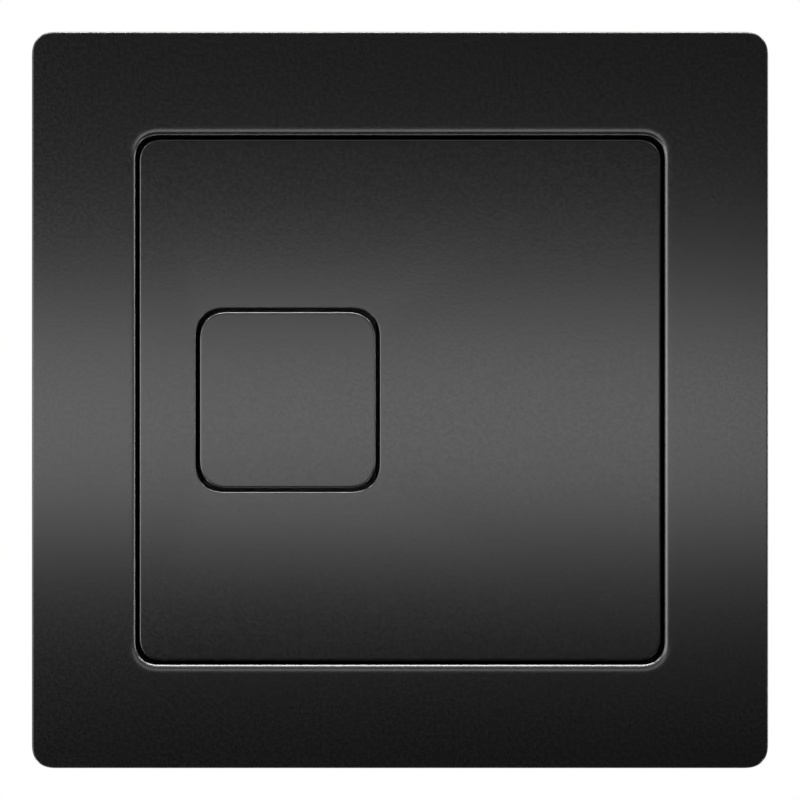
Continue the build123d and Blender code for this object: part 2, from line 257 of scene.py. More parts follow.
def carve(piece, cutter):
    """Cuts a piece with a block, which is then thrown away."""
    cut = piece.modifiers.new("cut", "BOOLEAN")
    cut.operation = "DIFFERENCE"
    cut.object = cutter
    bpy.context.view_layer.update()
    carved = piece.evaluated_get(bpy.context.evaluated_depsgraph_get())
    mesh = bpy.data.meshes.new_from_object(carved)
    piece.modifiers.remove(cut)
    piece.data = mesh
    bpy.data.objects.remove(cutter)
    mesh.shade_smooth()
    mesh.set_sharp_from_angle(angle=SHARP)


block = bmesh.new()
bmesh.ops.create_cube(block, size=2 * MM)
for corner in block.verts:
    across, deep, up = corner.co
    corner.co = (across * NOTCH_WIDTH / 2, deep * NOTCH_HEIGHT - WALL_GAP * MM,
                 up * 2 * COVER_WALL - PLATE_HALF * MM - COVER_WALL * MM)
carve(cover, piece_of("notch_block", block))
print("cover with its notch:", len(cover.data.polygons), "faces")

# %% [markdown]
# ## Buttons
# Both buttons are skirted caps whose faces lie a little behind the cover's. The large one has a window
# with a collar behind it, and the small one fills that window. Their edges are tight, and the running
# gaps round them are under a millimetre.

# %% Skin the large button
FULL_CORNER = 4.2
FULL_EDGE = eased_edge(0.5, 1.4)
FULL_SKIRT = 1.8
HALF_GAP = 0.8
WINDOW_CORNER = 5.3
WINDOW_EDGE = eased_edge(0.35, 1.2)
COLLAR = 1.6
BUTTON_FACE = 2.4
SKIRT_DEPTH = 8.5

face_under = BUTTON_FRONT - BUTTON_FACE
skirt_end = BUTTON_FRONT - SKIRT_DEPTH
full_inside = FULL_HALF - FULL_SKIRT
window_half = HALF_HALF + HALF_GAP
collar_half = window_half + COLLAR
collar_corner = WINDOW_CORNER + COLLAR
full_button = skin("full_button_cap", [
    outline(FULL_HALF, FULL_CORNER, skirt_end),
    *outer_edge(FULL_HALF, FULL_CORNER, BUTTON_FRONT, FULL_EDGE),
    *inner_edge(window_half, WINDOW_CORNER, BUTTON_FRONT, WINDOW_EDGE, HALF_X),
    outline(window_half, WINDOW_CORNER, skirt_end, HALF_X),
    outline(collar_half, collar_corner, skirt_end, HALF_X),
    outline(collar_half, collar_corner, face_under, HALF_X),
    outline(full_inside, FULL_CORNER - FULL_SKIRT, face_under),
    outline(full_inside, FULL_CORNER - FULL_SKIRT, skirt_end),
])

# %% [markdown]
# ## Small button
# The small button is a cap like the large one, without a window. Its stack of outlines doesn't close on
# itself: it runs from the face down the skirt and back up inside, and a flat face fills each end. A cube
# with a bevel would be quicker, but then the face, the skirt and the inside would share one width.

# %% Skin the small button
HALF_CORNER = 5.1
HALF_EDGE = eased_edge(0.5, 1.4)
HALF_SKIRT = 1.6

half_inside = HALF_HALF - HALF_SKIRT
half_button = skin("half_button_cap", [
    *outer_edge(HALF_HALF, HALF_CORNER, BUTTON_FRONT, HALF_EDGE, HALF_X)[::-1],
    outline(HALF_HALF, HALF_CORNER, skirt_end, HALF_X),
    outline(half_inside, HALF_CORNER - HALF_SKIRT, skirt_end, HALF_X),
    outline(half_inside, HALF_CORNER - HALF_SKIRT, face_under, HALF_X),
], closed=False)

# %% [markdown]
# ## Finishes
# Every finish on this object has three things in common: its colour drifts a little over some centimetres,
# a fine grain breaks up its surface, and that grain makes some spots shinier than others. One function
# wires those three, and each material then gets the sizes and values of the real one. Patterns read Object
# coordinates, because those hold still on the piece when it moves.

# %% Add nodes and turn hex colours to linear


def linear(hex_colour):
    """An sRGB hex colour as linear red, green, blue and alpha."""
    values = [int(hex_colour[i:i + 2], 16) / 255 for i in (1, 3, 5)]
    return [v / 12.92 if v <= 0.04045 else ((v + 0.055) / 1.055) ** 2.4 for v in values] + [1.0]


def add_node(tree, kind, settings=None, inputs=None):
    """Adds one node with its settings; an input takes a value or another node's output."""
    node = tree.nodes.new(kind)
    for name, value in (settings or {}).items():
        setattr(node, name, value)
    for name, value in (inputs or {}).items():
        if isinstance(value, bpy.types.NodeSocket):
            tree.links.new(value, node.inputs[name])
        else:
            node.inputs[name].default_value = value
    return node


print("mid grey in linear light:", round(linear("#808080")[0], 3))

# %% Wire a finish
# A Mix node has several sockets of one name, so those for colours are found by number
MIX_COLOURS = (6, 7)
MIXED_COLOUR = 2
CLOUD_DETAIL = 3.0
# A noise seldom leaves this range, so it is stretched to the whole span of the shine
GRAIN_RANGE = (0.4, 0.6)


def finish(name, colours, drift, grain, depth, shine, grain_kind="ShaderNodeTexNoise", **shader_values):
    """A material from two hex colours, the sizes of drift and grain, the grain's depth and its shine."""
    material = bpy.data.materials.new(name)
    material.use_nodes = True
    tree = material.node_tree
    shader = tree.nodes["Principled BSDF"]
    for socket, value in shader_values.items():
        shader.inputs[socket].default_value = value
    place = add_node(tree, "ShaderNodeTexCoord").outputs["Object"]
    cloud = add_node(tree, "ShaderNodeTexNoise", inputs={
        "Vector": place, "Scale": 1 / (drift * MM), "Detail": CLOUD_DETAIL})
    pale, deep = (linear(colour) for colour in colours)
    colour = add_node(tree, "ShaderNodeMix", {"data_type": "RGBA"}, {
        0: cloud.outputs["Fac"], MIX_COLOURS[0]: pale, MIX_COLOURS[1]: deep})
    spots = add_node(tree, grain_kind, inputs={"Vector": place, "Scale": 1 / (grain * MM)})
    bump = add_node(tree, "ShaderNodeBump", inputs={
        "Height": spots.outputs[0], "Strength": 1.0, "Distance": depth * MM})
    gloss = add_node(tree, "ShaderNodeMapRange", inputs={
        "Value": spots.outputs[0], "From Min": GRAIN_RANGE[0], "From Max": GRAIN_RANGE[1],
        "To Min": shine[0], "To Max": shine[1]})
    tree.links.new(colour.outputs[MIXED_COLOUR], shader.inputs["Base Color"])
    tree.links.new(bump.outputs["Normal"], shader.inputs["Normal"])
    tree.links.new(gloss.outputs["Result"], shader.inputs["Roughness"])
    print(name, "is mixed:", len(tree.nodes), "nodes")
    return material


# %% [markdown]
# ## Satin black ABS
# The front is injection moulded ABS, coloured black in the melt. The mould is spark eroded, which leaves
# tiny craters side by side. They are too small to see one by one, but they turn a glossy plastic satin, so
# a strip lamp in front of the plate shows as a soft pale band. A Voronoi texture has cells like craters, but
# their sharp rims sparkle in a reflection, so a soft noise stands for them here.

# %% Mix the satin black ABS and dress the three mouldings
# Deep black with a soft sheen; real craters are about 0.1 mm wide and are drawn coarser here, to show
black_abs = finish("satin_black_abs", ("#010101", "#030303"), drift=20, grain=0.75, depth=0.008,
                   shine=(0.274, 0.306), IOR=1.5)


def dress(piece, material, body, slot, *nodes):
    """Gives a piece its material, its body and the CAD nodes that it stands for; the record slot is not used.
    """
    piece.data.materials.clear()
    piece.data.materials.append(material)
    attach(piece, body)
    if nodes:
        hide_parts(*nodes)
    print(piece.name, "rides on", body)


dress(cover, black_abs, "chassis", "black_abs", "cover_frame")
dress(full_button, black_abs, "full_button", "black_abs", "full_flush_button")
dress(half_button, black_abs, "half_button", "black_abs", "half_flush_button")

# %% [markdown]
# ## Ribs
# Thin ribs stiffen the flat faces from behind: short ones across the cover's border, and long ones under
# the buttons. They repeat, so a Geometry Nodes tree puts a block on each of a few points. A point carries
# its rib's length and its turn in the plane of the wall, and the tree has inputs for width and height.

# %% Start, end and run a tree


def new_tree(name, sizes):
    """A Geometry Nodes tree with a named number for each size; gives the tree and its inputs."""
    tree = bpy.data.node_groups.new(name, "GeometryNodeTree")
    tree.interface.new_socket("Geometry", in_out="INPUT", socket_type="NodeSocketGeometry")
    tree.interface.new_socket("Geometry", in_out="OUTPUT", socket_type="NodeSocketGeometry")
    for size in sizes:
        tree.interface.new_socket(size, in_out="INPUT", socket_type="NodeSocketFloat")
    return tree, add_node(tree, "NodeGroupInput").outputs


def end_tree(tree, geometry, material):
    """Closes a tree: real geometry in place of instances, with its material."""
    real = add_node(tree, "GeometryNodeRealizeInstances", inputs={"Geometry": geometry})
    coated = add_node(tree, "GeometryNodeSetMaterial", inputs={
        "Geometry": real.outputs["Geometry"], "Material": material})
    add_node(tree, "NodeGroupOutput", inputs={"Geometry": coated.outputs["Geometry"]})


def grow(name, tree, body, slot, places, sizes, **attributes):
    """Runs a tree on bare points and keeps the result as a plain mesh that rides on a body."""
    points = bpy.data.meshes.new(name)
    points.from_pydata([Vector((x, -level, z)) * MM for x, level, z in places], [], [])
    for attribute, values in attributes.items():
        points.attributes.new(attribute, "FLOAT", "POINT").data.foreach_set("value", values)
    piece = bpy.data.objects.new(name, points)
    scene.collection.objects.link(piece)
    modifier = piece.modifiers.new("tree", "NODES")
    modifier.node_group = tree
    for socket in tree.interface.items_tree:
        if socket.in_out == "INPUT" and socket.name in sizes:
            modifier[socket.identifier] = sizes[socket.name] * MM
    bpy.context.view_layer.update()
    grown = piece.evaluated_get(bpy.context.evaluated_depsgraph_get())
    mesh = bpy.data.meshes.new_from_object(grown)
    piece.modifiers.remove(modifier)
    piece.data = mesh
    outward = bmesh.new()
    outward.from_mesh(mesh)
    bmesh.ops.recalc_face_normals(outward, faces=outward.faces)
    outward.to_mesh(mesh)
    outward.free()
    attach(piece, body)
    print(name, "grew", len(mesh.polygons), "faces on", len(places), "points")
    return piece


# %% Wire the rib tree
rib_tree, given = new_tree("ribs", ["Width", "Height"])
cube = add_node(rib_tree, "GeometryNodeMeshCube", inputs={"Size": (1, 1, 1)})
length = add_node(rib_tree, "GeometryNodeInputNamedAttribute", inputs={"Name": "length"})
turn = add_node(rib_tree, "GeometryNodeInputNamedAttribute", inputs={"Name": "turn"})
scale = add_node(rib_tree, "ShaderNodeCombineXYZ", inputs={
    "X": length.outputs["Attribute"], "Y": given["Height"], "Z": given["Width"]})
angle = add_node(rib_tree, "ShaderNodeCombineXYZ", inputs={"Y": turn.outputs["Attribute"]})
rotation = add_node(rib_tree, "FunctionNodeEulerToRotation", inputs={"Euler": angle.outputs[0]})
ribs = add_node(rib_tree, "GeometryNodeInstanceOnPoints", inputs={
    "Points": given["Geometry"], "Instance": cube.outputs["Mesh"],
    "Rotation": rotation.outputs[0], "Scale": scale.outputs[0]})
end_tree(rib_tree, ribs.outputs["Instances"], black_abs)
print("the rib tree has", len(rib_tree.nodes), "nodes")

# %% Grow the cover's ribs
COVER_RIB = 1.2
COVER_RIB_HEIGHT = 1.5
COVER_RIB_SPACING = 76.0
QUARTERS = range(4)
SIDES = (-1, 1)


def around(x, z):
    """A place and its mirror image across z = 0 on each of the four sides, and the turns of the sides."""
    places, turns = [], []
    for quarter in QUARTERS:
        turn = quarter * pi / 2
        for side in SIDES:
            places.append((x * cos(turn) - side * z * sin(turn), x * sin(turn) + side * z * cos(turn)))
            turns.append(-turn)
    return places, turns


rib_length = inside_half - lip_half + LIP_WALL
rib_level = cover_under - COVER_RIB_HEIGHT / 2
places, turns = around((inside_half + lip_half) / 2, COVER_RIB_SPACING / 2)
grow("cover_ribs", rib_tree, "chassis", "black_abs", [(x, rib_level, z) for x, z in places],
     {"Width": COVER_RIB, "Height": COVER_RIB_HEIGHT}, length=[rib_length * MM] * len(places), turn=turns)

# %% Grow the buttons' ribs
BUTTON_RIB = 1.4
BUTTON_RIB_HEIGHT = 2.4
POST_AT = 45.95
PUMP_X = 22.9

rib_sizes = {"Width": BUTTON_RIB, "Height": BUTTON_RIB_HEIGHT}
rib_level = face_under - BUTTON_RIB_HEIGHT / 2
right_end, left_end = HALF_X + collar_half, HALF_X - collar_half
full_ribs = [(0, POST_AT, 2 * full_inside, 0), (0, -POST_AT, 2 * full_inside, 0),
             (PUMP_X, 0, 2 * full_inside, pi / 2),
             ((right_end + full_inside) / 2, 0, full_inside - right_end, 0),
             ((left_end - full_inside) / 2, 0, full_inside + left_end, 0)]
grow("full_button_ribs", rib_tree, "full_button", "black_abs",
     [(x, rib_level, z) for x, z, _, _ in full_ribs], rib_sizes,
     length=[(long + FULL_SKIRT) * MM for _, _, long, _ in full_ribs],
     turn=[turn for _, _, _, turn in full_ribs])
grow("half_button_ribs", rib_tree, "half_button", "black_abs", [(HALF_X, rib_level, 0)] * 2,
     rib_sizes, length=[(2 * half_inside + HALF_SKIRT) * MM] * 2, turn=[0, pi / 2])

# %% [markdown]
# ## Snap beads
# Two wedges inside each side of the skirt ride over the edge of the wall frame and hook behind a step in
# it. A wedge is a block with one edge moved: the tree picks the corners of the block that are both inside
# and near the wall, shifts them back to the skirt, and puts the wedge on eight points.

# %% Wire the bead tree and grow the beads
SNAP_LENGTH = 20.0
SNAP_SPACING = 84.0
SNAP_DEPTH = 1.2
SNAP_TOP = 1.35

bead_tree, given = new_tree("snap_beads", ["Length", "Height", "Root", "Depth"])
reach = add_node(bead_tree, "ShaderNodeMath", {"operation": "ADD"}, {0: given["Root"], 1: given["Depth"]})
size = add_node(bead_tree, "ShaderNodeCombineXYZ", inputs={
    "X": reach.outputs[0], "Y": given["Height"], "Z": given["Length"]})
cube = add_node(bead_tree, "GeometryNodeMeshCube", inputs={"Size": size.outputs[0]})
spot = add_node(bead_tree, "GeometryNodeInputPosition")
spot = add_node(bead_tree, "ShaderNodeSeparateXYZ", inputs={"Vector": spot.outputs[0]})
inside = add_node(bead_tree, "FunctionNodeCompare", {"operation": "LESS_THAN"}, {
    0: spot.outputs["X"], 1: 0.0})
behind = add_node(bead_tree, "FunctionNodeCompare", {"operation": "GREATER_THAN"}, {
    0: spot.outputs["Y"], 1: 0.0})
picked = add_node(bead_tree, "FunctionNodeBooleanMath", inputs={0: inside.outputs[0], 1: behind.outputs[0]})
shift = add_node(bead_tree, "ShaderNodeCombineXYZ", inputs={"X": given["Depth"]})
wedge = add_node(bead_tree, "GeometryNodeSetPosition", inputs={
    "Geometry": cube.outputs["Mesh"], "Selection": picked.outputs[0], "Offset": shift.outputs[0]})
turn = add_node(bead_tree, "GeometryNodeInputNamedAttribute", inputs={"Name": "turn"})
angle = add_node(bead_tree, "ShaderNodeCombineXYZ", inputs={"Y": turn.outputs["Attribute"]})
rotation = add_node(bead_tree, "FunctionNodeEulerToRotation", inputs={"Euler": angle.outputs[0]})
beads = add_node(bead_tree, "GeometryNodeInstanceOnPoints", inputs={
    "Points": given["Geometry"], "Instance": wedge.outputs["Geometry"], "Rotation": rotation.outputs[0]})
end_tree(bead_tree, beads.outputs["Instances"], black_abs)

bead_root = COVER_WALL / 2
bead_level = (SNAP_TOP + WALL_GAP) / 2
bead_sizes = {"Length": SNAP_LENGTH, "Height": SNAP_TOP - WALL_GAP, "Root": bead_root, "Depth": SNAP_DEPTH}
places, turns = around(inside_half + (bead_root - SNAP_DEPTH) / 2, SNAP_SPACING / 2)
grow("snap_beads", bead_tree, "chassis", "black_abs", [(x, bead_level, z) for x, z in places],
     bead_sizes, turn=turns)

# %% [markdown]
# ## Guide posts
# Each button slides on posts that pass through towers in the tray: four for the large button, two for the
# small one. A post is a cross where it needs to be light and a square foot where it is guided, with a
# groove for the clip that keeps it in. One tree stacks those blocks and puts the post on its points.

# %% Wire the post tree
post_tree, given = new_tree("guide_posts", [
    "Post", "Web", "Neck", "Face", "Foot", "Groove top", "Groove end", "End"])
POST_BLOCKS = (("Post", "Web", "Foot", "Face"), ("Web", "Post", "Foot", "Face"),
               ("Post", "Post", "Groove top", "Foot"), ("Neck", "Post", "Groove end", "Groove top"),
               ("Post", "Post", "End", "Groove end"))

post = add_node(post_tree, "GeometryNodeJoinGeometry")
for across, up, low, high in POST_BLOCKS:
    depth = add_node(post_tree, "ShaderNodeMath", {"operation": "SUBTRACT"}, {0: given[high], 1: given[low]})
    total = add_node(post_tree, "ShaderNodeMath", {"operation": "ADD"}, {0: given[high], 1: given[low]})
    middle = add_node(post_tree, "ShaderNodeMath", {"operation": "MULTIPLY"}, {0: total.outputs[0], 1: -0.5})
    size = add_node(post_tree, "ShaderNodeCombineXYZ", inputs={
        "X": given[across], "Y": depth.outputs[0], "Z": given[up]})
    shift = add_node(post_tree, "ShaderNodeCombineXYZ", inputs={"Y": middle.outputs[0]})
    cube = add_node(post_tree, "GeometryNodeMeshCube", inputs={"Size": size.outputs[0]})
    moved = add_node(post_tree, "GeometryNodeTransform", inputs={
        "Geometry": cube.outputs["Mesh"], "Translation": shift.outputs[0]})
    post_tree.links.new(moved.outputs["Geometry"], post.inputs["Geometry"])
posts = add_node(post_tree, "GeometryNodeInstanceOnPoints", inputs={
    "Points": given["Geometry"], "Instance": post.outputs["Geometry"]})
end_tree(post_tree, posts.outputs["Instances"], black_abs)
print("the post tree has", len(post_tree.nodes), "nodes")

# %% Grow the guide posts
POST = 5.0
WEB = 1.8
NECK_WIDTH = 3.0
POST_TAIL = 2.0
CLIP_THICKNESS = 1.0
POST_FOOT = 8.0
HALF_POST_AT = 13.6

clip_low = POST_END + POST_TAIL
clip_high = clip_low + CLIP_THICKNESS
post_sizes = {"Post": POST, "Web": WEB, "Neck": NECK_WIDTH, "Face": face_under,
              "Foot": clip_high + POST_FOOT, "Groove top": clip_high, "Groove end": clip_low, "End": POST_END}
grow("full_button_posts", post_tree, "full_button", "black_abs",
     [(x * POST_AT, 0, z * POST_AT) for x in SIDES for z in SIDES], post_sizes)
grow("half_button_posts", post_tree, "half_button", "black_abs",
     [(HALF_X + side * HALF_POST_AT, 0, side * HALF_POST_AT) for side in SIDES], post_sizes)

# %% [markdown]
# ## Pushers
# A round boss under each button presses on the crown of its bellows. It is the first of several turned
# pieces, all of them round about an axis square to the wall. Blender's Screw modifier could spin a
# profile, but a loop of rings does the same and lets a profile change with the angle, which a hexagon
# nut needs later on.

# %% Turn the pushers
TURN_STEPS = 96
ARC_STEPS = 4
ROUND = 0.3
FULL_PUSHER = 9.0
HALF_PUSHER = 4.0
PUSHER_HEIGHT = 3.0


def turned(name, x, profile):
    """A round piece from a function that gives a closed loop of (radius, level) pairs for an angle."""
    mesh = bmesh.new()
    columns = []
    for step in range(TURN_STEPS):
        angle = 2 * pi * step / TURN_STEPS
        columns.append([mesh.verts.new(Vector((x + radius * cos(angle), -level, radius * sin(angle))) * MM)
                        for radius, level in profile(angle)])
    for column, after in zip(columns, columns[1:] + columns[:1]):
        for i in range(len(column)):
            mesh.faces.new((column[i - 1], column[i], after[i], after[i - 1]))
    return piece_of(name, mesh)


def rounded(radius, level, inwards, upwards):
    """Points that round a turned corner, from its side to its end."""
    angles = [step * pi / 2 / ARC_STEPS for step in range(ARC_STEPS + 1)]
    return [(radius + inwards * ROUND * (1 - cos(angle)), level + upwards * ROUND * (1 - sin(angle)))
            for angle in angles]


def pusher(name, x, radius):
    """A boss under a button's face."""
    end = face_under - PUSHER_HEIGHT
    return turned(name, x, lambda angle: [(0, face_under), (radius, face_under),
                                          *rounded(radius, end, -1, 1), (0, end)])


dress(pusher("full_button_pusher", PUMP_X, FULL_PUSHER), black_abs, "full_button", "black_abs")
dress(pusher("half_button_pusher", HALF_X, HALF_PUSHER), black_abs, "half_button", "black_abs")

# %% [markdown]
# ## Bellows
# Each bellows is moulded in black EPDM rubber and springs back by itself. Its wall follows a rule, a wave
# turned about an axis, so Geometry Nodes shape it: a flat grid is rolled up, with one side as the angle
# and the other as the phase of the wave. The first and last rows shrink to the axis and close the ends.
# A flange at its foot and a crown at its top are plain discs. EPDM gets a grey bloom in places.

# %% Mix the rubber
# Dull black with a powdery grey bloom; pores of the mould are under 0.1 mm and are drawn coarser here
black_rubber = finish("epdm_rubber", ("#121212", "#262626"), drift=6, grain=0.5, depth=0.02,
                      shine=(0.55, 0.72), IOR=1.5)

# %% Roll up the grid in a tree
HALF_FOLDS = 5
FOLD_ROWS = 80
SEAM = MM / 100

bellows_tree, given = new_tree("bellows", [
    "Middle radius", "Swing", "Height", "Flange radius", "Flange", "Crown radius", "Crown"])
wave_end = HALF_FOLDS * pi / 2
end_row = 2 * wave_end / FOLD_ROWS
grid = add_node(bellows_tree, "GeometryNodeMeshGrid", inputs={
    "Size X": 2 * pi, "Size Y": 2 * (wave_end + end_row), "Vertices X": TURN_STEPS + 1,
    "Vertices Y": FOLD_ROWS + 3})
spot = add_node(bellows_tree, "GeometryNodeInputPosition")
spot = add_node(bellows_tree, "ShaderNodeSeparateXYZ", inputs={"Vector": spot.outputs[0]})
wave = add_node(bellows_tree, "ShaderNodeMath", {"operation": "SINE"}, {0: spot.outputs["Y"]})
swing = add_node(bellows_tree, "ShaderNodeMath", {"operation": "MULTIPLY"}, {
    0: wave.outputs[0], 1: given["Swing"]})
wall = add_node(bellows_tree, "ShaderNodeMath", {"operation": "SUBTRACT"}, {
    0: given["Middle radius"], 1: swing.outputs[0]})
far = add_node(bellows_tree, "ShaderNodeMath", {"operation": "ABSOLUTE"}, {0: spot.outputs["Y"]})
on_wall = add_node(bellows_tree, "ShaderNodeMath", {"operation": "LESS_THAN"}, {
    0: far.outputs[0], 1: wave_end + end_row / 2})
radius = add_node(bellows_tree, "ShaderNodeMath", {"operation": "MULTIPLY"}, {
    0: wall.outputs[0], 1: on_wall.outputs[0]})
level = add_node(bellows_tree, "ShaderNodeMapRange", inputs={
    "Value": spot.outputs["Y"], "From Min": -wave_end, "From Max": wave_end, "To Min": 0.0,
    "To Max": given["Height"]})
flat = add_node(bellows_tree, "ShaderNodeCombineXYZ", inputs={
    "X": radius.outputs[0], "Y": level.outputs["Result"]})
rolled = add_node(bellows_tree, "ShaderNodeVectorRotate", {"rotation_type": "Y_AXIS"}, {
    "Vector": flat.outputs[0], "Angle": spot.outputs["X"]})
folds = add_node(bellows_tree, "GeometryNodeSetPosition", inputs={
    "Geometry": grid.outputs["Mesh"], "Position": rolled.outputs[0]})
folds = add_node(bellows_tree, "GeometryNodeMergeByDistance", inputs={
    "Geometry": folds.outputs[0], "Distance": SEAM})
print("the wave runs over", HALF_FOLDS, "half-folds in", FOLD_ROWS, "rows")

# %% Add the flange and the crown, and end the tree
foot = add_node(bellows_tree, "ShaderNodeMath", {"operation": "MULTIPLY"}, {0: given["Flange"], 1: -0.5})
top = add_node(bellows_tree, "ShaderNodeMath", {"operation": "MULTIPLY_ADD"}, {
    0: given["Crown"], 1: 0.5, 2: given["Height"]})
joined = add_node(bellows_tree, "GeometryNodeJoinGeometry", inputs={"Geometry": folds.outputs[0]})
for kind, middle in (("Flange", foot), ("Crown", top)):
    drum = add_node(bellows_tree, "GeometryNodeMeshCylinder", inputs={
        "Vertices": TURN_STEPS, "Radius": given[kind + " radius"], "Depth": given[kind]})
    shift = add_node(bellows_tree, "ShaderNodeCombineXYZ", inputs={"Y": middle.outputs[0]})
    moved = add_node(bellows_tree, "GeometryNodeTransform", inputs={
        "Geometry": drum.outputs["Mesh"], "Translation": shift.outputs[0], "Rotation": (pi / 2, 0, 0)})
    bellows_tree.links.new(moved.outputs["Geometry"], joined.inputs["Geometry"])
smooth = add_node(bellows_tree, "GeometryNodeSetShadeSmooth", inputs={
    "Geometry": joined.outputs["Geometry"]})
set_up = add_node(bellows_tree, "GeometryNodeInstanceOnPoints", inputs={
    "Points": given["Geometry"], "Instance": smooth.outputs["Geometry"], "Rotation": (pi, 0, 0)})
end_tree(bellows_tree, set_up.outputs["Instances"], black_rubber)
print("the bellows tree has", len(bellows_tree.nodes), "nodes")

# %% Grow both bellows
FULL_BELLOWS = 17.0
FULL_FOLD = 4.5
HALF_BELLOWS = 8.0
HALF_FOLD = 2.6
FLANGE_WIDTH = 2.0
FLANGE = 1.6
CROWN = 2.0
FOLD_SHARP = radians(40)


def bellows(node, x, radius, fold):
    """A bellows on its base, as tall as its CAD piece."""
    low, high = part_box(node)
    tall = (high.y - low.y) / MM
    sizes = {"Middle radius": radius - fold / 2, "Swing": fold / 2, "Height": tall - FLANGE - CROWN,
             "Flange radius": radius + FLANGE_WIDTH, "Flange": FLANGE,
             "Crown radius": radius - fold, "Crown": CROWN}
    foot = (x, FLANGE - high.y / MM, 0)
    piece = grow(node + "_moulding", bellows_tree, "chassis", "black_rubber", [foot], sizes)
    piece.data.set_sharp_from_angle(angle=FOLD_SHARP)
    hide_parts(node)
    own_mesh(piece)


bellows("full_flush_bellows", PUMP_X, FULL_BELLOWS, FULL_FOLD)
bellows("half_flush_bellows", HALF_X, HALF_BELLOWS, HALF_FOLD)

# %% [markdown]
# ## Acetal pump pieces
# Under each bellows lies a round base with a neck through the tray and a barbed spigot for the hose. A
# ring holds the bellows' flange down on it, and a hexagon nut draws the neck tight behind the tray. All
# three are moulded in natural acetal, a slippery plastic that is milky white and faintly waxy.

# %% Mix the acetal
# Milky white, hardly uneven, with the slight waxy shine of a polished mould
white_acetal = finish("moulded_acetal", ("#e8e8e4", "#dcdcd6"), drift=12, grain=0.9, depth=0.004,
                      shine=(0.32, 0.44), IOR=1.48)

# %% Turn the air bases
BASE_PLATE = 2.0
NECK = 4.0
SPIGOT = 2.3
SPIGOT_LENGTH = 10.0
BORE = 1.25
BORE_BEVEL = 0.2
BARBS = 3
BARB = 0.4
BARB_PITCH = 2.4
BARB_EDGE = 0.15
BARB_RIM = 0.2


def air_base(node, x, radius):
    """Plate, neck and barbed spigot with one bore through all of them."""
    low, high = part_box(node)
    plate_top, end = -low.y / MM, -high.y / MM
    plate_low = plate_top - BASE_PLATE
    neck_end = end + SPIGOT_LENGTH
    plate = radius + FLANGE_WIDTH
    profile = [(BORE, plate_top), (plate, plate_top), (plate, plate_low), (NECK, plate_low)]
    profile += rounded(NECK, neck_end, -1, 1) + [(SPIGOT, neck_end)]
    for barb in range(BARBS, 0, -1):
        root = end + barb * BARB_PITCH
        rim = root - BARB_EDGE
        profile += [(SPIGOT, root), (SPIGOT + BARB, rim), (SPIGOT + BARB, rim - BARB_RIM),
                    (SPIGOT, root - BARB_PITCH + ROUND)]
    profile += rounded(SPIGOT, end, -1, 1) + [(BORE + BORE_BEVEL, end), (BORE, end + BORE_BEVEL)]
    return turned(node + "_moulding", x, lambda angle: profile)


PUMPS = (("full_flush", PUMP_X, FULL_BELLOWS), ("half_flush", HALF_X, HALF_BELLOWS))
for kind, x, radius in PUMPS:
    node = kind + "_air_base"
    dress(air_base(node, x, radius), white_acetal, "chassis", "white_acetal", node)

# %% [markdown]
# ## Retainer rings
# A ring is pressed over the base, and its lip keeps the bellows' flange down, so the pump holds its air.
# Two cylinders and a Boolean would do, but a closed profile that is turned needs no cutting.

# %% Turn the retainer rings
RETAINER_FIT = 0.1
RETAINER_WALL = 1.0
RETAINER_LIP = 1.2
FOLD_CLEARANCE = 0.4


def retainer(node, x, radius):
    """A ring round the base whose lip reaches over the bellows' flange."""
    low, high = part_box(node)
    top, foot = -low.y / MM, -high.y / MM
    inner = radius + FLANGE_WIDTH + RETAINER_FIT
    outer = inner + RETAINER_WALL
    lip = radius + FOLD_CLEARANCE
    profile = [(inner, foot), (outer, foot), *rounded(outer, top, -1, -1), (lip, top),
               (lip, top - RETAINER_LIP), (inner, top - RETAINER_LIP)]
    return turned(node + "_moulding", x, lambda angle: profile)


for kind, x, radius in PUMPS:
    node = kind + "_retainer"
    dress(retainer(node, x, radius), white_acetal, "chassis", "white_acetal", node)

# %% [markdown]
# ## Lock nuts
# A nut has flat sides to grip, and a cone takes the points off its corners on both faces. It is turned as
# the rings are, with a profile that knows its angle: a side is further out towards the corners, so the
# cone takes more off there, and the curved chamfer lines come out by themselves.

# %% Turn the lock nuts
NUT_HALF = 6.5
NUT_BORE = 4.1
NUT_BEVEL = 0.4
NUT_CHAMFER = tan(radians(30))


def lock_nut(node, x):
    """A hexagon whose corners are chamfered by a cone on both faces."""
    low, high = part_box(node)
    top, foot = -low.y / MM, -high.y / MM

    def profile(angle):
        """The nut's section, with its side as far out as the hexagon is at this angle."""
        side = NUT_HALF / cos(angle % (pi / 3) - pi / 6)
        cone = NUT_HALF - ROUND
        drop = (side - cone) * NUT_CHAMFER
        return [(NUT_BORE, foot + NUT_BEVEL), (NUT_BORE + NUT_BEVEL, foot), (cone, foot),
                (side, foot + drop), (side, top - drop),
                (cone, top), (NUT_BORE + NUT_BEVEL, top), (NUT_BORE, top - NUT_BEVEL)]

    return turned(node + "_moulding", x, profile)


for kind, x, _ in PUMPS:
    node = kind + "_lock_nut"
    dress(lock_nut(node, x), white_acetal, "chassis", "white_acetal", node)

# %% [markdown]
# ## Other finishes
# Behind the cover nothing has to look smart, so the wall frame is plain grey ABS and the tray is a darker
# one, which keeps the gaps round the buttons dark. The frame lies on strips of closed-cell foam, and two
# zinc plated screws hold the tray. Each differs mainly in how its surface was made.

# %% Mix the other finishes
# Mid grey, matt, with faint flow clouds from the mould; its texture is drawn coarser than the real one
grey_abs = finish("moulded_grey_abs", ("#b1b3b5", "#a7a9ab"), drift=25, grain=0.6, depth=0.008,
                  shine=(0.45, 0.58), IOR=1.5)
